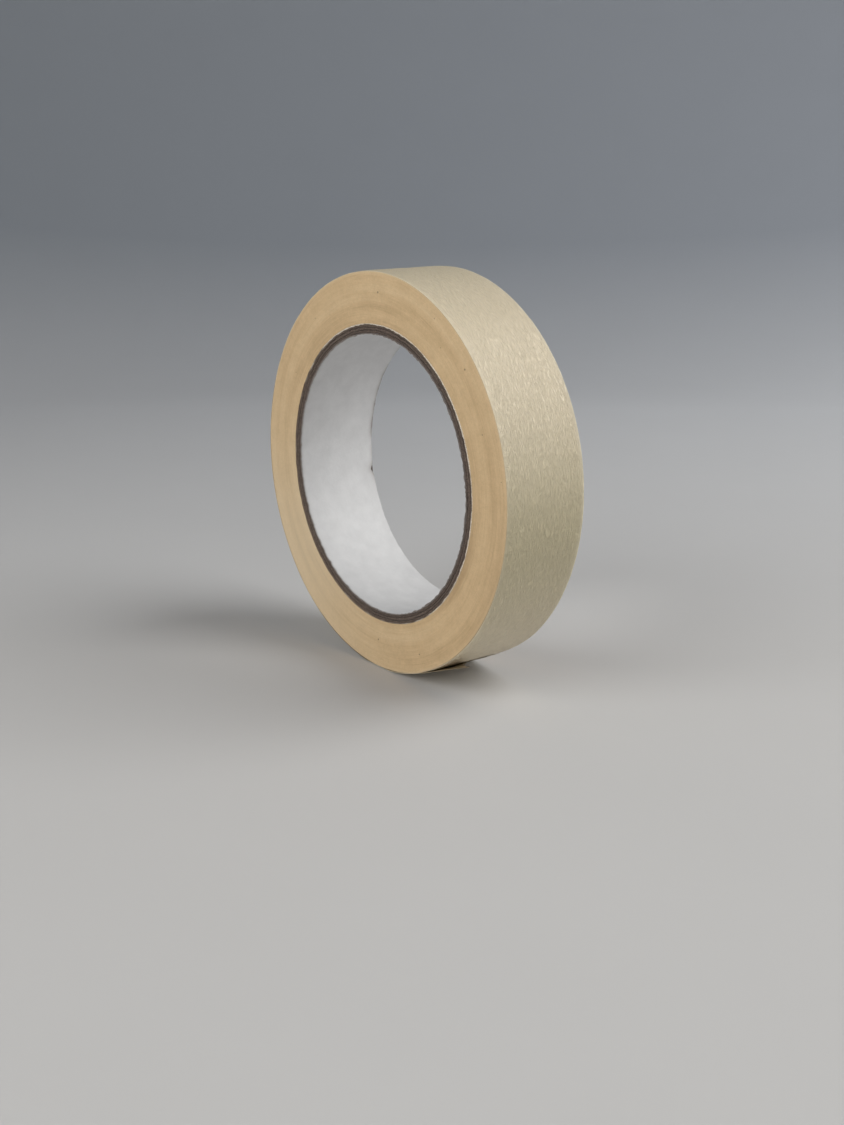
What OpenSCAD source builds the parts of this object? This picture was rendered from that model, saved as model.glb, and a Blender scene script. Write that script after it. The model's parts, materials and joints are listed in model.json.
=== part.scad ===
// Roll of masking tape standing on its rim: a spiral-wound board core, the pressed turns of
// tape on it, a last turn that has worked loose, and the torn loose end that lifts off the rim.
// The roll's axis is Y, +Z is up, and the origin is the centre of the bore at half width.

/* [Core] */
// Diameter of the bore, the usual 3 inch core
core_bore_d = 76.2; // [25:0.1:80]
// Thickness of the white paper that faces the bore
inner_liner_t = 0.22; // [0.1:0.01:0.5]
// Thickness of each of the three board plies
ply_t = 0.76; // [0.3:0.01:1.5]
// Thickness of the pale paper wrapped round the outside of the board
outer_wrap_t = 0.25; // [0.1:0.01:0.5]

/* [Tape] */
// Width of the tape and of the core
tape_w = 25.4; // [12:0.1:75]
// Thickness of the creped paper backing
backing_t = 0.10; // [0.07:0.01:0.2]
// Thickness of the adhesive on the backing's inner side
adhesive_t = 0.03; // [0.02:0.01:0.06]
// Turns of tape pressed tight on the core, below the loose last turn
pressed_turns = 105; // [20:1:140]

/* [Last turn] */
// Where the loose end leaves the rim, in degrees from the lowest point towards +X
lift_off = 22; // [16:1:40]
// Height of the bulge where the last turn begins, above the lift-off line
bulge_gap = 0.7; // [0:0.1:1.2]
// How far round the bulge reaches, in degrees
bulge_sweep = 50; // [30:1:80]
// Most that the last turn stands off beside the flat that the roll stands on
foot_gap = 0.3; // [0.1:0.05:0.5]

/* [Loose end] */
// Length of the loose end along its longer, front edge
loose_front_l = 22; // [10:1:30]
// Length of the loose end along its shorter, back edge
loose_back_l = 3; // [2:1:9]
// How sharply the torn edge turns across the tape, where 1 is a straight slant
tear_curve = 3; // [1:0.5:4]
// Depth of the notches along the torn edge
tear_depth = 0.6; // [0:0.1:0.8]

/* [Hidden] */

$fn = 96;
// Extra length that lets a cutting tool pass through both side faces
cut_margin = 1;
// Radii of the core's layers, from the bore outwards
bore_r = core_bore_d / 2;
inner_ply_r = bore_r + inner_liner_t;
middle_ply_r = inner_ply_r + ply_t;
outer_ply_r = middle_ply_r + ply_t;
outer_wrap_r = outer_ply_r + ply_t;
core_r = outer_wrap_r + outer_wrap_t;
// One layer of tape, and the radius of the pressed turns where the last turn begins on them
tape_t = backing_t + adhesive_t;
pressed_r = core_r + pressed_turns * tape_t;
// The spiral is drawn with this many flats a turn
flats = 240;
// Gap along the tape, in degrees, between the last turn's end and its own beginning
slit = 0.15;
// The bulge starts this far past the lift-off line, and the foot ends this far before it
margin = 3;
bulge_start = lift_off + margin;
foot_reach = lift_off - margin;
// Clearance between the loose end and the turn below it
peel_gap = 0.03;
loose_r = pressed_r + tape_t + peel_gap;
// Zigzag points across the torn edge
notches = 13;

// Angles are degrees from the lowest point towards +X and run from lift_off to lift_off + 360.
function at(angle, r) = [r * sin(angle), -r * cos(angle)];
// Radius of the pressed turns, which grows by one layer of tape in a turn
function spiral_r(angle) = pressed_r + tape_t * (angle - lift_off) / 360;
// A smooth rise from 0 to height and back between two angles
function swell(angle, from, to, height) =
    angle <= from || angle >= to ? 0 : height * (1 - cos(360 * (angle - from) / (to - from))) / 2;
// The floor that the last turn is pressed flat against
function floor_r(angle) = spiral_r(360) / cos(angle);
function bulge(angle) = swell(angle, bulge_start, bulge_start + bulge_sweep, bulge_gap);
function foot(angle) =
    abs(angle - 360) >= foot_reach ? 0
    : min(swell(angle, 360 - foot_reach, 360 + foot_reach, foot_gap), floor_r(angle) - spiral_r(angle));
// Inner radius of the last turn
function last_turn_r(angle) = spiral_r(angle) + bulge(angle) + max(0, foot(angle));
// Angle of spiral point i, where the last turn stops one slit short of a full turn
function turn_angle(i) = lift_off + (i < flats ? 360 * i / flats : 360 - slit);

// Length of the loose end at a share of the way from its front edge to its back edge
function loose_l(across) =
    loose_back_l + (loose_front_l - loose_back_l) * pow(1 - across, tear_curve);

// Extrudes an outline drawn in X and Z across the tape's width
module across_width() {
    rotate([90, 0, 0])
        linear_extrude(height = tape_w, center = true)
            children();
}

// One layer of the core
module core_ring(inner_r, thickness) {
    rotate([90, 0, 0])
        difference() {
            cylinder(h = tape_w, r = inner_r + thickness, center = true);
            cylinder(h = tape_w + 2 * cut_margin, r = inner_r, center = true);
        }
}

// One layer of the last turn, between two heights above the turn's inner surface
module last_turn_layer(low, high) {
    inner = [for (i = [0:flats]) at(turn_angle(i), last_turn_r(turn_angle(i)) + low)];
    outer = [for (i = [flats:-1:0]) at(turn_angle(i), last_turn_r(turn_angle(i)) + high)];
    across_width()
        polygon(concat(inner, outer));
}

// One layer of the loose end: flat, tangent to the rim at the lift-off line, and torn to a point
module loose_end_layer(low, high) {
    tear = [for (i = [0:notches])
        let (across = i / notches, notch = i % 2 == 0 ? 0 : tear_depth)
        [loose_l(across) - notch, (across - 0.5) * tape_w]];
    rotate([0, -lift_off, 0])
        translate([0, 0, -loose_r - high])
            linear_extrude(height = high - low)
                polygon(concat([[0, tape_w / 2], [0, -tape_w / 2]], tear));
}

// White paper glued round the inside of the board
module core_inner_liner() {
    color("whitesmoke") core_ring(bore_r, inner_liner_t);
}

// Grey board plies, wound one on the other
module core_inner_ply() {
    color("dimgray") core_ring(inner_ply_r, ply_t);
}

module core_middle_ply() {
    color("gray") core_ring(middle_ply_r, ply_t);
}

module core_outer_ply() {
    color("dimgray") core_ring(outer_ply_r, ply_t);
}

// Pale paper on the outside of the board, which the first turn of tape is stuck to
module core_outer_wrap() {
    color("ivory") core_ring(outer_wrap_r, outer_wrap_t);
}

// All the turns that are pressed tight, as one body with a spiral rim and its one-layer step
module pressed_turns_of_tape() {
    color("burlywood")
        difference() {
            across_width()
                polygon([for (i = [0:flats])
                    let (angle = lift_off + 360 * i / flats)
                    at(angle, spiral_r(angle))]);
            rotate([90, 0, 0])
                cylinder(h = tape_w + 2 * cut_margin, r = core_r, center = true);
        }
}

// The last turn, which bulges at one side and lies flat where the roll stands on it
module last_turn_adhesive() {
    color("goldenrod") last_turn_layer(0, adhesive_t);
}

module last_turn_backing() {
    color("wheat") last_turn_layer(adhesive_t, tape_t);
}

// The torn end of the tape, free to be peeled away from the rim
module loose_end_adhesive() {
    color("goldenrod") loose_end_layer(0, adhesive_t);
}

module loose_end_backing() {
    color("wheat") loose_end_layer(adhesive_t, tape_t);
}

core_inner_liner();
core_inner_ply();
core_middle_ply();
core_outer_ply();
core_outer_wrap();
pressed_turns_of_tape();
last_turn_adhesive();
last_turn_backing();
loose_end_adhesive();
loose_end_backing();
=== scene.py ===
import json
import math

import bpy
import numpy as np
from mathutils import Matrix, Vector


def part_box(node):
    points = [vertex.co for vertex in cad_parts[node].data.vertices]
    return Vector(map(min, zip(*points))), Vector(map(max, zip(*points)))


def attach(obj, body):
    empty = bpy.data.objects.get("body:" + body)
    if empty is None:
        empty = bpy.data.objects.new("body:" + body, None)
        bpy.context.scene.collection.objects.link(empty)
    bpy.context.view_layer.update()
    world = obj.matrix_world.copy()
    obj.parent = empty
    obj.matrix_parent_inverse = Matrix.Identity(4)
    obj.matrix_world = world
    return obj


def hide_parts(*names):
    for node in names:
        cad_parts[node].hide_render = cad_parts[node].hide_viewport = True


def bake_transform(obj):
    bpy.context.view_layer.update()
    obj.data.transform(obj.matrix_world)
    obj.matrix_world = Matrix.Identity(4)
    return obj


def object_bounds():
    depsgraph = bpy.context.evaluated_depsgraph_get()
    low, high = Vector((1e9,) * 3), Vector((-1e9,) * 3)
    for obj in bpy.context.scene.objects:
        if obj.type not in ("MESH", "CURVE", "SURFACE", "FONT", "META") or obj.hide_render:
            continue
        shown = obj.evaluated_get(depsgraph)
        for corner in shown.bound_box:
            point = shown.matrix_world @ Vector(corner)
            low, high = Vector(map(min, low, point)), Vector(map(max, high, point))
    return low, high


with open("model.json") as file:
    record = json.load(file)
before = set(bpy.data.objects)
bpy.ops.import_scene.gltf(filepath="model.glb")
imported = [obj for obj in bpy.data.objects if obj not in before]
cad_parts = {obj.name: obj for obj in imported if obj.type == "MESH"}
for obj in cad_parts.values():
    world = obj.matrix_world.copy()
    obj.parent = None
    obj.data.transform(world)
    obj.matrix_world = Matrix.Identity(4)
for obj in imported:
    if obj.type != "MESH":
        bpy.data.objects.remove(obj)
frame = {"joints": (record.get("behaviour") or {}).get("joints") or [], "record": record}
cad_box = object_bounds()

# ---------------------------------------------------------------------------
# Driving sizes, in metres. The layers repeat the part's own sizes; radii come from the frame.
# ---------------------------------------------------------------------------
MM = 0.001
BACKING_T = 0.10 * MM
ADHESIVE_T = 0.03 * MM
TAPE_T = BACKING_T + ADHESIVE_T
PRESSED_TURNS = 105
BULGE_GAP, BULGE_SWEEP, FOOT_GAP, MARGIN = 0.7 * MM, 50, 0.3 * MM, 3
LOOSE_FRONT_L, LOOSE_BACK_L, TEAR_CURVE = 22 * MM, 3 * MM, 3
PEEL_GAP = 0.03 * MM
# The camera's side, in degrees round from -Y towards +X
VIEW_AZIMUTH = 53.07
# Wear of the roll's corners: how far in from a side face they are crushed, and how deep
CORNER_W, CORNER_H = 1.8 * MM, 0.30 * MM
# How far the slit edges of the outer turn and the loose end stay inside the side faces
EDGE_INSET = 0.06 * MM
# Faces that meet at more than this many degrees keep a sharp edge
SHARP_ANGLE = 50

HALF_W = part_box("pressed_turns_of_tape")[1].y
BORE_R = next(m for m in frame["record"]["mounts"] if m["name"] == "core_bore")["dims"]["r_mm"] * MM
HINGE = Vector(frame["joints"][0]["pos_m"])
LIFT_OFF = math.degrees(math.atan2(HINGE.x, -HINGE.z))
FLOOR_Z = cad_box[0][2]


def outer_radius(node):
    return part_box(node)[1].x


LINER_R = outer_radius("core_inner_liner")
PLY_NODES = ["core_inner_ply", "core_middle_ply", "core_outer_ply"]
PLY_RADII = [LINER_R] + [outer_radius(node) for node in PLY_NODES]
CORE_R = outer_radius("core_outer_wrap")
PRESSED_R = CORE_R + PRESSED_TURNS * TAPE_T
LOOSE_R = PRESSED_R + TAPE_T + PEEL_GAP


# ---------------------------------------------------------------------------
# The tape's path, as the part's source has it. Angles are degrees from the lowest point towards +X.
# ---------------------------------------------------------------------------
def spiral_r(angle):
    return PRESSED_R + TAPE_T * (angle - LIFT_OFF) / 360


def swell(angle, start, end, height):
    share = np.clip((angle - start) / (end - start), 0, 1)
    return height * (1 - np.cos(2 * np.pi * share)) / 2


def foot(angle):
    """Flattening where the roll stands on the last turn."""
    foot_reach = LIFT_OFF - MARGIN
    to_floor = spiral_r(360) / np.cos(np.radians(angle)) - spiral_r(angle)
    lift = np.minimum(swell(angle, 360 - foot_reach, 360 + foot_reach, FOOT_GAP), to_floor)
    return np.where(np.abs(angle - 360) < foot_reach, np.maximum(lift, 0), 0)


def bulge(angle):
    """Stand-off of the last turn just above the loose end."""
    return swell(angle, LIFT_OFF + MARGIN, LIFT_OFF + MARGIN + BULGE_SWEEP, BULGE_GAP)


def corner_drop(angle, y):
    """How far the worn corner lies below the rim, at a point y across the width."""
    inside = np.clip((HALF_W - np.abs(y)) / CORNER_W, 0, 1)
    turn = np.radians(angle)
    wear = 0.58 + 0.20 * np.sin(turn) + 0.13 * np.sin(3 * turn + 1.0) + 0.09 * np.sin(7 * turn + 2.4)
    return CORNER_H * wear * (1 - inside) ** 2


def last_turn_r(angle, y):
    """Inner radius of the last turn, whose edges cling to the worn corners of the turns below."""
    inside = np.clip((HALF_W - np.abs(y)) / (1.5 * CORNER_W), 0, 1)
    crown = 0.15 + 0.85 * inside * (2 - inside)
    return spiral_r(angle) + foot(angle) + bulge(angle) * crown - corner_drop(angle, y)


def polar(angle, r, y):
    """Points at an angle and a radius round the roll's axis, and at y across the width."""
    turn = np.radians(angle)
    return np.stack(np.broadcast_arrays(r * np.sin(turn), y, -r * np.cos(turn)), -1)


# ---------------------------------------------------------------------------
# Helpers: seeded noise and closed meshes
# ---------------------------------------------------------------------------
def noise_field(seed, shape, reach):
    """A smooth random field with unit spread. reach is how far its shapes run, in samples, each way."""
    white = np.random.default_rng(seed).standard_normal(shape)
    down = np.fft.fftfreq(shape[0])[:, None] * reach[0]
    across = np.fft.fftfreq(shape[1])[None, :] * reach[1]
    field = np.fft.ifft2(np.fft.fft2(white) * np.exp(-2 * np.pi**2 * (down**2 + across**2))).real
    return field / field.std()


def strip_faces(*corners):
    """Faces from four grids of corner numbers, one for each corner."""
    return np.stack([corner.ravel() for corner in corners], 1)


def slab_faces(rows, columns, cyclic):
    """Corner numbers of the faces between two grids of points: the high ones, the low ones, the sides."""
    index = np.arange(rows * columns).reshape(rows, columns)
    if cyclic:
        index = np.vstack([index, index[:1]])
    top = index + rows * columns
    parts = [
        strip_faces(top[:-1, :-1], top[1:, :-1], top[1:, 1:], top[:-1, 1:]),
        strip_faces(index[:-1, :-1], index[:-1, 1:], index[1:, 1:], index[1:, :-1]),
        strip_faces(index[:-1, 0], index[1:, 0], top[1:, 0], top[:-1, 0]),
        strip_faces(index[1:, -1], index[:-1, -1], top[:-1, -1], top[1:, -1]),
    ]
    if not cyclic:
        parts.append(strip_faces(index[0, 1:], index[0, :-1], top[0, :-1], top[0, 1:]))
        parts.append(strip_faces(index[-1, :-1], index[-1, 1:], top[-1, 1:], top[-1, :-1]))
    return np.vstack(parts)


def facing_out(points, faces):
    """The same faces, turned over if they would enclose a negative volume."""
    corners = points[faces]
    volume = np.einsum("ij,ij->i", corners[:, 0], np.cross(corners[:, 1], corners[:, 2])).sum()
    volume += np.einsum("ij,ij->i", corners[:, 0], np.cross(corners[:, 2], corners[:, 3])).sum()
    return faces[:, ::-1] if volume < 0 else faces


def set_mask(mesh, name, low_values, high_values):
    """A value at each point for a material to read, from one grid for each surface of a slab."""
    both = np.concatenate([low_values.ravel(), high_values.ravel()]).astype(np.float32)
    mesh.attributes.new(name, "FLOAT", "POINT").data.foreach_set("value", both)


def slab(name, low, high, material, cyclic=False, uv=None, masks=None):
    """A closed mesh between two grids of points of the same shape, such as a sheet's two surfaces."""
    points = np.vstack([low.reshape(-1, 3), high.reshape(-1, 3)])
    faces = facing_out(points, slab_faces(*low.shape[:2], cyclic))
    mesh = bpy.data.meshes.new(name)
    mesh.vertices.add(len(points))
    mesh.vertices.foreach_set("co", points.ravel())
    mesh.loops.add(faces.size)
    mesh.loops.foreach_set("vertex_index", faces.ravel())
    mesh.polygons.add(len(faces))
    mesh.polygons.foreach_set("loop_start", np.arange(0, faces.size, 4))
    mesh.update(calc_edges=True)
    if uv is not None:
        flat = np.vstack([uv.reshape(-1, 2), uv.reshape(-1, 2)])
        mesh.uv_layers.new(name="unrolled").data.foreach_set("uv", flat[faces.ravel()].ravel())
    for mask, values in (masks or {}).items():
        set_mask(mesh, mask, values, values)
    mesh.materials.append(material)
    mesh.shade_smooth()
    mesh.set_sharp_from_angle(angle=math.radians(SHARP_ANGLE))
    obj = bpy.data.objects.new(name, mesh)
    bpy.context.scene.collection.objects.link(obj)
    return obj


def hand_over(obj, body, slot_name, *nodes):
    """The piece stands for its CAD nodes, and moves with the body if one is named."""
    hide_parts(*nodes)
    if body:
        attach(obj, body)
    return obj


# ---------------------------------------------------------------------------
# Materials
# ---------------------------------------------------------------------------
class Shader:
    """A Principled material with short calls for the nodes that drive it."""

    def __init__(self, name, roughness, **sockets):
        self.material = bpy.data.materials.new(name)
        self.material.use_nodes = True
        self.nodes = self.material.node_tree.nodes
        self.links = self.material.node_tree.links
        self.bsdf = self.nodes["Principled BSDF"]
        self.bsdf.inputs["Roughness"].default_value = roughness
        for socket, value in sockets.items():
            self.bsdf.inputs[socket.replace("_", " ")].default_value = value

    def node(self, kind, **inputs):
        made = self.nodes.new(kind)
        for key, value in inputs.items():
            self.feed(made.inputs[key.replace("_", " ")], value)
        return made

    def feed(self, socket, value):
        if isinstance(value, bpy.types.NodeSocket):
            self.links.new(value, socket)
        else:
            socket.default_value = value

    def place(self, source="Object", scale=(1, 1, 1)):
        """Coordinates in millimetres, stretched by scale."""
        coordinates = self.node("ShaderNodeTexCoord").outputs[source]
        unit = 1 / MM if source == "Object" else 1
        mapping = self.node("ShaderNodeMapping", Vector=coordinates)
        mapping.inputs["Scale"].default_value = [unit * s for s in scale]
        return mapping.outputs["Vector"]

    def noise(self, vector, scale, detail=3, roughness=0.5):
        return self.node(
            "ShaderNodeTexNoise", Vector=vector, Scale=scale, Detail=detail, Roughness=roughness
        ).outputs["Fac"]

    def mask(self, name):
        made = self.node("ShaderNodeAttribute")
        made.attribute_name = name
        return made.outputs["Fac"]

    def ramp(self, fac, *stops):
        made = self.node("ShaderNodeValToRGB", Fac=fac)
        elements = made.color_ramp.elements
        while len(elements) < len(stops):
            elements.new(0.5)
        for element, (position, color) in zip(elements, stops):
            element.position = position
            element.color = (*color, 1) if len(color) == 3 else (color[0],) * 3 + (1,)
        return made.outputs["Color"]

    def mix(self, fac, a, b, blend="MIX"):
        made = self.nodes.new("ShaderNodeMix")
        made.data_type = "RGBA"
        made.blend_type = blend
        self.feed(made.inputs["Factor"], fac)
        self.feed(made.inputs[6], a if not isinstance(a, tuple) else (*a, 1))
        self.feed(made.inputs[7], b if not isinstance(b, tuple) else (*b, 1))
        return made.outputs[2]

    def math(self, operation, a, b=0.0):
        made = self.nodes.new("ShaderNodeMath")
        made.operation = operation
        self.feed(made.inputs[0], a)
        self.feed(made.inputs[1], b)
        return made.outputs[0]

    def color(self, value):
        self.feed(self.bsdf.inputs["Base Color"], value)

    def bump(self, height, depth, previous=None):
        """Relief of the given depth in metres where height runs from 0 to 1."""
        made = self.node("ShaderNodeBump", Height=height, Distance=depth)
        if previous is not None:
            self.links.new(previous, made.inputs["Normal"])
        self.links.new(made.outputs["Normal"], self.bsdf.inputs["Normal"])
        return made.outputs["Normal"]


def gray(value):
    return (value, value, value)


def crepe_paper():
    """Creped backing with a slight gloss: short crisp creases along the tape, and fine fibre."""
    s = Shader("crepe_paper", 0.40, Specular_IOR_Level=0.9)
    ridge = s.noise(s.place("UV", (0.45, 2.6, 1)), 1.0, 4, 0.60)
    crease = s.ramp(ridge, (0.38, gray(0.0)), (0.60, gray(1.0)))
    fibre = s.noise(s.place("UV", (1.2, 4.6, 1)), 1.0, 2, 0.6)
    cloud = s.noise(s.place(), 0.25, 4, 0.6)
    base = s.ramp(cloud, (0.30, (0.86, 0.742, 0.538)), (0.72, (0.895, 0.776, 0.572)))
    # Painted shade: the rim is made greyer and more olive low on the bulged side and on top.
    base = s.mix(s.mask("painted_rim_shade"), base, (0.60, 0.527, 0.338))
    # Painted shade: the crease troughs of the bump are darkened.
    base = s.mix(0.28, base, s.ramp(ridge, (0.36, gray(0.66)), (0.54, gray(1.0))), "MULTIPLY")
    base = s.mix(0.25, base, s.ramp(fibre, (0.35, gray(0.75)), (0.65, gray(1.0))), "MULTIPLY")
    # Painted highlight: paper made paler along the slit edges.
    base = s.mix(s.mask("edge"), base, (0.93, 0.84, 0.64))
    # Darkened by dirt, and by painted shade along the standing edge and on the loose end.
    s.color(s.mix(s.mask("dirt_and_shade"), base, (0.17, 0.12, 0.065)))
    normal = s.bump(crease, 0.22 * MM)
    s.bump(fibre, 0.09 * MM, normal)
    return s.material


def adhesive():
    """Tacky film on the inner side, with the crepe showing through."""
    s = Shader("adhesive", 0.38, Coat_Weight=0.15)
    ridge = s.noise(s.place("UV", (0.35, 2.2, 1)), 1.0, 3, 0.55)
    base = s.ramp(ridge, (0.3, (0.46, 0.35, 0.19)), (0.7, (0.58, 0.46, 0.28)))
    s.color(s.mix(s.mask("dirt_and_shade"), base, (0.09, 0.06, 0.03)))
    s.bump(ridge, 0.05 * MM)
    return s.material


SPECK_COUNT = 20


def speck_mask(s):
    """Soft dots of dirt scattered at random, half of them on each side face."""
    random = np.random.default_rng(90)
    point = s.node("ShaderNodeTexCoord").outputs["Object"]
    total = 0.0
    for index in range(SPECK_COUNT):
        angle = random.uniform(0, 360)
        share = random.uniform(0.35, 0.95)
        reach = random.uniform(0.26, 0.46) * MM
        side = (-1) ** index
        away = s.node("ShaderNodeVectorMath", Vector=point)
        away.operation = "DISTANCE"
        radius = CORE_R + share * (PRESSED_R - CORE_R)
        away.inputs[1].default_value = polar(angle, radius, side * HALF_W)
        dark = s.math("SUBTRACT", 1.0, s.math("DIVIDE", away.outputs["Value"], reach))
        total = s.math("MAXIMUM", dark, total)
    return s.ramp(total, (0.15, gray(0.0)), (0.7, gray(0.8)))


def wound_edges():
    """Slit edges of the turns: rings of slightly different tan, from the mesh, over fine fibre."""
    s = Shader("wound_edges", 0.62)
    fibre = s.noise(s.place(), 3.2, 3, 0.6)
    blotch = s.noise(s.place(), 0.22, 5, 0.65)
    dark, tan, pale = (0.50, 0.345, 0.185), (0.70, 0.505, 0.285), (0.78, 0.59, 0.355)
    rings = s.ramp(s.mask("ring"), (0.0, dark), (0.5, tan), (1.0, pale))
    base = s.mix(0.50, rings, s.ramp(blotch, (0.3, (0.80, 0.77, 0.72)), (0.7, gray(1.0))), "MULTIPLY")
    mottle = s.noise(s.place(), 0.95, 3, 0.6)
    base = s.mix(0.28, base, s.ramp(mottle, (0.32, gray(0.78)), (0.62, gray(1.0))), "MULTIPLY")
    base = s.mix(0.30, base, s.ramp(fibre, (0.3, gray(0.72)), (0.6, gray(1.0))), "MULTIPLY")
    # Painted highlight: the outermost turns are made paler.
    base = s.mix(s.mask("edge"), base, (0.80, 0.66, 0.46))
    # Painted shade: the crevice beside the last turn is darkened.
    base = s.mix(s.mask("gap"), base, (0.13, 0.085, 0.05))
    s.color(s.mix(speck_mask(s), base, (0.07, 0.045, 0.03)))
    s.bump(fibre, 0.05 * MM)
    return s.material


def core_board(name, tint):
    """Grey-brown recycled board, cut across: layered fibre with pale and dark flecks."""
    s = Shader(name, 0.9)
    fibre = s.noise(s.place(), 2.6, 4, 0.7)
    fleck = s.noise(s.place(), 5.5, 2, 0.5)
    dark = tuple(0.55 * part for part in tint)
    light = tuple(1.35 * part for part in tint)
    base = s.ramp(fibre, (0.32, dark), (0.66, light))
    base = s.mix(s.ramp(fleck, (0.62, gray(0)), (0.70, gray(0.6))), base, (0.34, 0.27, 0.21))
    s.color(s.mix(s.mask("seam"), base, (0.035, 0.026, 0.022)))
    s.bump(fibre, 0.15 * MM)
    return s.material


def liner_paper():
    """White machine-glazed paper with soft fibre clouds."""
    s = Shader("liner_paper", 0.55)
    cloud = s.noise(s.place(), 0.25, 4, 0.55)
    fibre = s.noise(s.place(), 1.6, 3, 0.6)
    base = s.ramp(cloud, (0.3, (0.60, 0.60, 0.605)), (0.7, (0.665, 0.665, 0.67)))
    base = s.mix(0.15, base, s.ramp(fibre, (0.3, gray(0.85)), (0.65, gray(1.0))), "MULTIPLY")
    s.color(s.mix(s.mask("dirt_and_shade"), base, (0.16, 0.13, 0.11)))
    s.bump(fibre, 0.04 * MM)
    return s.material


def wrap_paper():
    """Pale paper round the board, torn and fluffy at its cut edge, and darker in places."""
    s = Shader("wrap_paper", 0.85)
    fibre = s.noise(s.place(), 3.0, 3, 0.6)
    base = s.ramp(fibre, (0.35, (0.52, 0.43, 0.32)), (0.6, (0.86, 0.80, 0.70)))
    s.color(s.mix(s.mask("dirt_and_shade"), base, (0.20, 0.14, 0.10)))
    s.bump(fibre, 0.1 * MM)
    return s.material


def studio_paper():
    """Pale sweep with painted light and shade: greyer towards its far side and its top, and paler on the
    right of it.
    """
    s = Shader("studio_paper", 0.8)
    view = math.radians(VIEW_AZIMUTH)
    point = s.node("ShaderNodeTexCoord").outputs["Object"]
    across = s.node("ShaderNodeVectorRotate", Vector=point, Angle=-view)
    axes = s.node("ShaderNodeSeparateXYZ", Vector=across.outputs["Vector"])
    rise = s.math("MULTIPLY", s.math("SUBTRACT", axes.outputs["Z"], FLOOR_Z), 2.0)
    far = s.math("ADD", axes.outputs["Y"], rise)
    near = (0.585, 0.58, 0.575)
    # Painted shade greys the far side and the top, and painted light makes the right side paler.
    left = s.ramp(far, (0.0, near), (0.40, (0.56, 0.57, 0.59)), (0.85, (0.31, 0.335, 0.37)))
    right = s.ramp(far, (0.0, near), (0.40, (0.71, 0.725, 0.75)), (0.85, (0.41, 0.44, 0.49)))
    side = s.math("ADD", s.math("MULTIPLY", axes.outputs["X"], 1.2), 0.5)
    tone = s.mix(s.ramp(side, (0.1, gray(0.0)), (0.9, gray(1.0))), left, right)
    cloud = s.noise(s.place(), 0.02, 3, 0.5)
    s.color(s.mix(0.12, tone, s.ramp(cloud, (0.3, gray(0.9)), (0.7, gray(1.0))), "MULTIPLY"))
    return s.material


# ---------------------------------------------------------------------------
# Core
# ---------------------------------------------------------------------------
RING_STEPS = 720


def ring_angles(steps):
    return np.linspace(0, 360, steps, endpoint=False)[:, None]


def boundary(seed, radius, spread):
    """A slightly wandering radius, shared by the two rings that meet at it."""
    slow = noise_field(seed, (RING_STEPS, 1), (5, 0))
    ragged = noise_field(seed + 9, (RING_STEPS, 1), (0.9, 0))
    return radius + spread * (0.6 * slow + 0.7 * ragged).clip(-1.5, 1.5)


def core_ring(name, material, inner, outer, recess, samples, seed, rough, dirt_and_shade=0.0):
    """A ring of the core between two radii that wander, with a rough cut edge at each side face."""
    angles = ring_angles(RING_STEPS)
    share = np.linspace(0, 1, samples)[None, :]
    radii = inner + (outer - inner) * share
    seam_reach = 0.10
    seam = np.exp(-share / seam_reach) + np.exp(-(1 - share) / seam_reach)
    sides = []
    for side, offset in ((-1, 0), (1, 1)):
        relief = noise_field(seed + offset, radii.shape, (2.0, 0.8)).clip(-2, 2) / 2
        relief += noise_field(seed + 7 + offset, radii.shape, (12, 2)).clip(-2, 2) / 2
        depth = recess + rough * (relief.clip(-1, 1) + 1) / 2 + rough * seam
        sides.append(polar(angles, radii, side * (HALF_W - depth)))
    masks = {"seam": np.broadcast_to((seam * 0.6).clip(0, 1), radii.shape), "dirt_and_shade": dirt_and_shade + 0 * radii}
    return slab(name, sides[0], sides[1], material, cyclic=True, masks=masks)


def build_boards():
    """The three grey plies. Returns the outer edge of the last one."""
    tints = [(0.108, 0.079, 0.064), (0.132, 0.098, 0.079), (0.118, 0.087, 0.069)]
    recess, rough, samples = 0.10 * MM, 0.20 * MM, 9
    edges = [boundary(30 + i, r, 0.09 * MM) for i, r in enumerate(PLY_RADII)]
    for i, (node, tint) in enumerate(zip(PLY_NODES, tints)):
        board = core_board(f"core_board_{i + 1}", tint)
        name, seed = f"board_ply_{i + 1}", 40 + 10 * i
        ring = core_ring(name, board, edges[i], edges[i + 1], recess, samples, seed, rough)
        hand_over(ring, "roll", "core_board", node)
    return edges[-1]


def build_wrap(board_edge):
    """Pale paper on the board: wider and paler at one side, thin and darker at the other."""
    pale_angle, samples, seed, rough = 130, 4, 80, 0.10 * MM
    turned = np.cos(np.radians(ring_angles(RING_STEPS) - pale_angle))
    patchy = noise_field(37, (RING_STEPS, 1), (3, 0)) * 0.25
    dirt_and_shade = (0.40 - 0.95 * turned + patchy).clip(0, 0.95)
    inside = board_edge - (0.02 + 0.08 * turned.clip(0, 1)) * MM
    outside = boundary(36, CORE_R, 0.03 * MM)
    wrap = core_ring("board_wrap", wrap_paper(), inside, outside, 0, samples, seed, rough, dirt_and_shade)
    hand_over(wrap, "roll", "wrap_paper", "core_outer_wrap")


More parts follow.
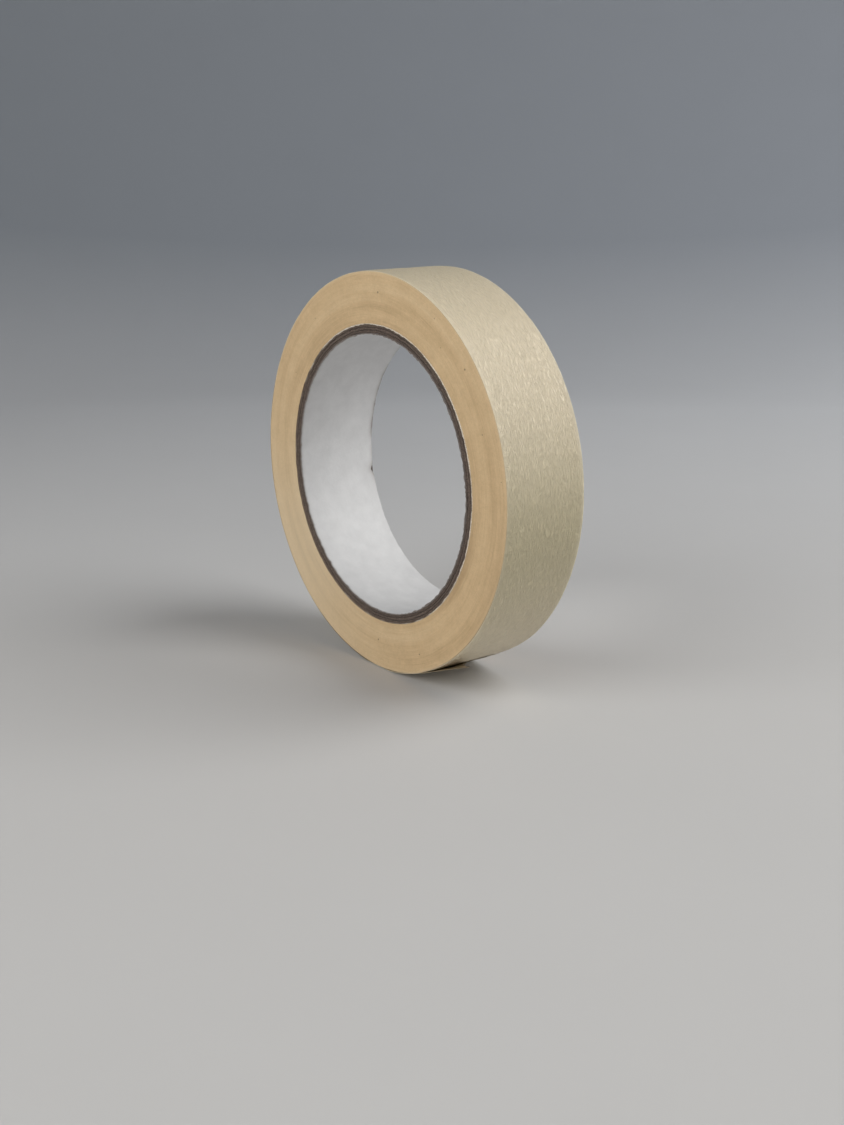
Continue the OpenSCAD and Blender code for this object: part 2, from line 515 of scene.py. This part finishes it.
def build_liner():
    """White liner: gently wavy, darker along its edges, and with one nick in the far edge."""
    across = 56
    angles = ring_angles(RING_STEPS)
    y_share = np.linspace(-1, 1, across)[None, :]
    fray = np.abs(noise_field(20, (RING_STEPS, 1), (1.5, 0))) * 0.08 * MM
    nick_angle, nick_reach, nick_depth = 282, 1.6, 0.9 * MM
    off = (angles - nick_angle + 180) % 360 - 180
    nick = nick_depth * np.exp(-((off / nick_reach) ** 2))
    far = HALF_W - fray - nick
    near = HALF_W - 0.12 * MM - np.roll(fray, 90, 0)
    y = np.where(y_share > 0, y_share * far, y_share * near)
    wave = noise_field(21, (RING_STEPS, across), (14, 6)).clip(-2, 2) / 2
    ragged = np.abs(noise_field(23, (RING_STEPS, 1), (1.6, 0))).clip(0, 2)
    teeth = ragged * np.exp(-(y + near) / (0.4 * MM))
    inner_r = BORE_R + 0.012 * MM * (wave + 1) - 0.15 * MM * teeth
    low = polar(angles, inner_r, y)
    high = polar(angles, np.full_like(y, LINER_R), y)
    dirt_and_shade = 0.9 * np.exp(-((off / (1.4 * nick_reach)) ** 2)) * np.exp((y - HALF_W) / (1.1 * MM))
    # Darker in a band along the far edge, and along the near edge.
    worn = np.exp(-(((angles - 255) / 32) ** 2)) * (0.85 + 0.25 * noise_field(22, (RING_STEPS, 1), (4, 0)))
    dirt_and_shade += worn * np.exp((y - HALF_W) / (0.50 * MM)) + 0.9 * np.exp(-(y + near) / (0.22 * MM))
    masks = {"dirt_and_shade": dirt_and_shade.clip(0, 0.95)}
    liner = slab("core_liner", low, high, liner_paper(), cyclic=True, masks=masks)
    hand_over(liner, "roll", "liner_paper", "core_inner_liner")


# ---------------------------------------------------------------------------
# Tape
# ---------------------------------------------------------------------------
def along_spiral(field, columns):
    """Samples a field that closes on itself round the roll, moving out by one turn in each turn."""
    steps = field.shape[0]
    row = np.arange(steps + 1)[:, None]
    place = np.arange(columns)[None, :] + 2 * row / steps
    whole = place.astype(int)
    part = place - whole
    row = row % steps
    return field[row, whole] * (1 - part) + field[row, whole + 1] * part


def gap_share(angle):
    """How far the last turn has come away beside the front side face, from 0 to 1."""
    return swell(angle, LIFT_OFF - 5, LIFT_OFF + 150, 1.0)


def wound_side(seed, layer, steps):
    """Depth below the side face, and tone, of one slit side of the wound turns."""
    shape = (steps, layer.size + 3)
    turns = along_spiral(noise_field(seed, shape, (20, 1.0)), layer.size)
    rings = along_spiral(noise_field(seed + 1, shape, (40, 5)), layer.size)
    streaks = along_spiral(noise_field(seed + 2, shape, (1.3, 0.8)), layer.size)
    patches = along_spiral(noise_field(seed + 3, shape, (9, 14)), layer.size)
    groove = (layer % 1 == 0) * 1.0
    depth = 0.10 + 0.004 * turns + 0.012 * rings + 0.005 * streaks + 0.01 * groove
    angle = LIFT_OFF + 360 * np.arange(steps + 1)[:, None] / steps
    gap = 0.03 + 0.34 * gap_share(angle) ** 0.5
    depth += gap * np.exp((layer - layer.max()) / 1.5) + 0.04 * np.exp(-layer / 1.0)
    tone = 0.56 + 0.015 * turns + 0.03 * rings + 0.06 * streaks + 0.12 * patches - 0.02 * groove
    return np.maximum(depth, 0.01) * MM, (tone - 0.16 * np.exp(-layer / 12)).clip(0, 1)


def build_pressed_turns():
    """The wound turns as one body whose side faces follow the spiral, two points to each turn."""
    steps = 210
    angle = (LIFT_OFF + 360 * np.arange(steps + 1) / steps)[:, None]
    layer = np.arange(2 * PRESSED_TURNS + 1)[None, :] / 2
    corner = np.array([[0.6, 0.9, 1.3, 1.8]]) * MM
    grow = TAPE_T * (angle - LIFT_OFF) / 360
    radii = np.maximum(CORE_R + layer * TAPE_T + grow * (layer > 0), CORE_R)
    worn = corner_drop(angle, HALF_W - 0.15 * MM)
    radii -= worn * (radii - CORE_R) / (radii[:, -1:] - CORE_R)
    rim = spiral_r(angle) - corner_drop(angle, HALF_W - corner)
    radii = np.hstack([radii, rim])
    points, tones = [], []
    for side, seed in ((-1, 100), (1, 120)):
        depth, tone = wound_side(seed, layer, steps)
        depth = np.hstack([depth, corner + 0 * angle])
        tone = np.hstack([tone, 0.7 + 0 * rim])
        points.append(polar(angle, radii, side * (HALF_W - depth)))
        tones.append(tone)
    # Painted highlight on the outermost turns, and paler turns towards the lower left.
    paler_lower_left = 0.5 * np.exp(-(((angle - 308) / 38) ** 2))
    edge = np.hstack([np.maximum(0.45 * np.exp((layer - layer.max()) / 2.2), paler_lower_left), 0.45 + 0 * rim])
    # Painted shade in the crevice where the last turn has come away beside the front side face.
    gap = 0.9 * gap_share(angle) ** 0.4
    gap = np.hstack([gap * np.exp(-(((layer - layer.max()) / 1.4) ** 2)), gap + 0 * rim])
    obj = slab("wound_tape", *points, wound_edges(), masks={"edge": edge, "gap": gap})
    set_mask(obj.data, "ring", *tones)
    hand_over(obj, "roll", "wound_tape", "pressed_turns_of_tape")


def crepe_relief(seed, shape, along, across):
    """Height of the creped surface, 0 at the crests: short ridges along the tape, and slow waves."""
    ridges = noise_field(seed, shape, (0.9 * MM / along, 0.19 * MM / across))
    waves = noise_field(seed + 1, shape, (5 * MM / along, 0.9 * MM / across))
    height, crest, depth = 0.75 * ridges + 0.3 * waves, 1.8, 0.095 * MM
    return -(crest - height.clip(-crest, crest)) / (2 * crest) * depth


def edge_mask(angle, y):
    """Painted highlight: paler paper at both slit edges, all along the back one, and on the left of the
    front one.
    """
    front = 0.55 - 0.30 * np.sin(np.radians(angle))
    return np.where(y < 0, front, 1.0) * np.exp((np.abs(y) - HALF_W) / (0.38 * MM))


# The seam under the roll, where the last turn's mesh meets the loose end's, and the number of rows of
# points over which the crepe fades out on each side of it
SEAM_ANGLE = LIFT_OFF + 360 - 13
FADE_ROWS = 30


def painted_rim_shade(angle, y):
    """Painted shade: greyer, more olive paper low on the bulged side, and on top."""
    low = 0.95 * np.exp(-(((angle - 80) / 27) ** 2))
    top = 0.36 * np.exp(-(((angle - 180) / 20) ** 2))
    return low + top + 0 * y


def contact_shade_and_dirt(angle, y):
    """Dirt picked up, and painted contact shade, along the front edge where the roll has been standing."""
    reach = np.exp(-(((angle - 342) / 15) ** 4))
    return 0.95 * reach * np.exp(-(y + HALF_W) / (0.30 * MM))


def build_last_turn(paper, glue):
    """The last turn from the lift-off line round to the seam under the roll."""
    steps, across = 430, 112
    angle = np.linspace(LIFT_OFF, SEAM_ANGLE, steps)[:, None]
    share = np.linspace(0, 1, across)[None, :]
    wander = 0.05 * MM * noise_field(60, (steps, 2), (26, 0)).clip(-1, 1)
    wander[-2 * FADE_ROWS:] *= np.linspace(1, 0, 2 * FADE_ROWS)[:, None]
    front = -HALF_W + EDGE_INSET + wander[:, :1]
    back = HALF_W - EDGE_INSET + wander[:, 1:]
    y = front + (back - front) * share
    r = last_turn_r(angle, y)
    length = np.radians(angle) * PRESSED_R / MM
    uv = np.stack(np.broadcast_arrays(length, y / MM), -1)
    spacing = (np.radians(SEAM_ANGLE - LIFT_OFF) * PRESSED_R / steps, 2 * HALF_W / across)
    relief = crepe_relief(61, (steps, across), *spacing)
    relief *= np.minimum(1, np.arange(steps, 0, -1) / FADE_ROWS)[:, None]
    masks = {"edge": edge_mask(angle, y), "dirt_and_shade": contact_shade_and_dirt(angle, y), "painted_rim_shade": painted_rim_shade(angle, y)}
    inner, middle, outer = (polar(angle, r + t, y) for t in (0, ADHESIVE_T, TAPE_T + relief))
    backing = slab("rim_backing", middle, outer, paper, uv=uv, masks=masks)
    hand_over(backing, "roll", "crepe_paper", "last_turn_backing")
    film = slab("rim_adhesive", inner, middle, glue, uv=uv, masks={"dirt_and_shade": masks["dirt_and_shade"]})
    hand_over(film, "roll", "adhesive", "last_turn_adhesive")


def loose_surface(reach, y, height):
    """A point of the loose end: reach along it from the lift-off line, height above its inner side."""
    curl_r, curl_l = 0.42 * MM, 1.1 * MM
    past = reach - (LOOSE_FRONT_L - curl_l) - 0.1 * (y + HALF_W)
    bend = np.clip(past, 0, None) / curl_r
    flat = reach - np.clip(past, 0, None)
    droop = 0.45 * MM * (flat / LOOSE_FRONT_L) ** 2
    out = LOOSE_R + droop - curl_r * (1 - np.cos(bend)) + height * np.cos(bend)
    along = flat + (curl_r + height) * np.sin(bend)
    slope = math.radians(LIFT_OFF)
    x = out * math.sin(slope) + along * math.cos(slope)
    z = -out * math.cos(slope) + along * math.sin(slope)
    return np.stack(np.broadcast_arrays(x, y, z), -1)


def torn_length(y):
    """Length of the loose end at each point across: the part's own outline with a ragged tear."""
    share = (y + HALF_W) / (2 * HALF_W)
    torn = noise_field(70, y.shape, (0, 1.3)) * 0.30 + noise_field(71, y.shape, (0, 5)) * 0.45
    torn = torn.clip(-1.0, 1.0) * MM * np.minimum(1, 8 * share + 0.3)
    full = LOOSE_BACK_L + (LOOSE_FRONT_L - LOOSE_BACK_L) * (1 - share) ** TEAR_CURVE
    return np.minimum(full - 0.4 * MM + torn, LOOSE_FRONT_L)


def loose_layer(lap_angle, reach, y, height, frayed):
    """One surface of the last stretch: the lap on the roll, then the free end, which thins at its tear."""
    lift = PEEL_GAP * np.linspace(0, 1, len(lap_angle))[:, None] ** 2
    lap = polar(lap_angle, last_turn_r(lap_angle, y) + lift + height, y)
    return np.concatenate([lap, loose_surface(reach, y, height * frayed)])


def build_loose_end(paper, glue):
    """The last stretch of tape under the roll and the torn end that lifts off, as one strip that curves
    off the roll.
    """
    across, lap_steps, free_steps = 112, 26, 64
    side_to_side = np.linspace(-HALF_W, HALF_W, across)[None, :]
    y = side_to_side * (1 - EDGE_INSET / HALF_W)
    lap_angle = np.linspace(SEAM_ANGLE, LIFT_OFF + 360, lap_steps, endpoint=False)[:, None]
    tear = torn_length(side_to_side)
    reach = np.linspace(0, 1, free_steps)[:, None] * tear

    on_roll = np.zeros((lap_steps, across))
    along = np.concatenate([on_roll, reach])
    torn_edge = np.concatenate([on_roll, np.exp(-(tear - reach) / (0.5 * MM))])
    turned = np.concatenate([np.radians(lap_angle) + on_roll, math.radians(LIFT_OFF + 360) + 0 * reach])
    widths = y + 0 * along
    uv = np.stack([turned * PRESSED_R + along, widths], -1) / MM
    # The slit edges carry the same painted highlight as the last turn; the tear is paler too.
    edge = np.maximum(edge_mask(LIFT_OFF, widths), torn_edge).clip(0, 1)
    # Painted shade: the loose end's backing, facing the shaded floor, darkens towards its tip.
    paper_painted_shade = 0.90 * np.clip(along / (8 * MM), 0, 1)
    glue_soil = 0.90 * np.clip(along / (20 * MM), 0, 1) ** 1.5

    frayed = 1 - 0.7 * np.exp(-(tear - reach) / (0.45 * MM))
    inner, middle, outer = (loose_layer(lap_angle, reach, y, h, frayed) for h in (0, ADHESIVE_T, TAPE_T))
    relief = crepe_relief(64, along.shape, 0.4 * MM, 2 * HALF_W / across)
    relief *= np.minimum(1, np.arange(len(along)) / FADE_ROWS)[:, None]
    outer = outer + (outer - middle) * relief[..., None] / BACKING_T
    masks = {"edge": edge, "dirt_and_shade": paper_painted_shade}
    backing = slab("loose_backing", middle, outer, paper, uv=uv, masks=masks)
    film = slab("loose_adhesive", inner, middle, glue, uv=uv, masks={"dirt_and_shade": glue_soil})
    bend_in(backing, "crepe_paper", "loose_end_backing")
    bend_in(film, "adhesive", "loose_end_adhesive")


def bend_in(piece, slot_name, node):
    """Stands the strip in for its CAD node, and bakes its placement into its mesh."""
    hand_over(piece, None, slot_name, node)
    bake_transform(piece)


# ---------------------------------------------------------------------------
# Studio
# ---------------------------------------------------------------------------
def build_sweep():
    """A round floor that curves up into a wall on every side."""
    flat_r, curve_r, wall_top, thickness = 0.46, 0.55, 0.6, 0.01
    bend = np.radians(np.linspace(0, 90, 25))
    r = np.concatenate([[0.0001, 0.1, 0.2, 0.3], flat_r + curve_r * np.sin(bend), [flat_r + curve_r]])
    z = np.concatenate([[0, 0, 0, 0], curve_r * (1 - np.cos(bend)), [wall_top]])
    steps = 96
    turn = np.linspace(0, 2 * np.pi, steps, endpoint=False)[:, None]
    top = np.stack(np.broadcast_arrays(r * np.cos(turn), r * np.sin(turn), z + FLOOR_Z), -1)
    under = top - np.array([0, 0, thickness])
    sweep = slab("studio_sweep", under, top, studio_paper(), cyclic=True)


def area_light(name, position, size, power, tint=(1, 1, 1)):
    light = bpy.data.lights.new(name, "AREA")
    light.shape = "DISK"
    light.size = size
    light.energy = power
    light.color = tint
    obj = bpy.data.objects.new(name, light)
    obj.location = position
    obj.rotation_euler = (-Vector(position)).to_track_quat("-Z", "Y").to_euler()
    obj.visible_camera = False
    bpy.context.scene.collection.objects.link(obj)


def build_lights():
    """A soft light above the far side of the rim, one on the front side face, and a low weak fill."""
    area_light("key_softbox", (0.43, 0.43, 0.60), 0.75, 5.45, (1.0, 0.99, 0.97))
    area_light("front_softbox", (0.04, -0.73, 0.43), 0.65, 3.65, (1.0, 0.99, 0.97))
    area_light("low_fill", (0.74, -0.36, 0.12), 0.34, 0.55, (1.0, 0.98, 0.93))
    world = bpy.data.worlds.new("studio")
    world.use_nodes = True
    background = world.node_tree.nodes["Background"]
    background.inputs["Color"].default_value = (0.93, 0.96, 1.0, 1)
    background.inputs["Strength"].default_value = 0.07
    bpy.context.scene.world = world
    bpy.context.scene.view_settings.view_transform = "Standard"


def build_camera():
    """A viewpoint 403 mm from the roll's centre, to the right of its front and a little above."""
    azimuth, elevation, distance = math.radians(VIEW_AZIMUTH), math.radians(12.59), 402.9 * MM
    turn, tilt = math.radians(-0.31), math.radians(-3.63)
    look = Matrix.Rotation(azimuth, 4, "Z") @ Matrix.Rotation(math.pi / 2 - elevation, 4, "X")
    data = bpy.data.cameras.new("camera")
    data.sensor_width = 36
    data.lens = 46.69
    camera = bpy.data.objects.new("camera", data)
    place = Matrix.Translation(look.to_3x3() @ Vector((0, 0, distance)))
    camera.matrix_world = place @ look @ Matrix.Rotation(turn, 4, "Y") @ Matrix.Rotation(tilt, 4, "X")
    bpy.context.scene.collection.objects.link(camera)
    bpy.context.scene.camera = camera


build_camera()
build_wrap(build_boards())
build_liner()
build_pressed_turns()
crepe, film = crepe_paper(), adhesive()
build_last_turn(crepe, film)
build_loose_end(crepe, film)
build_sweep()
build_lights()
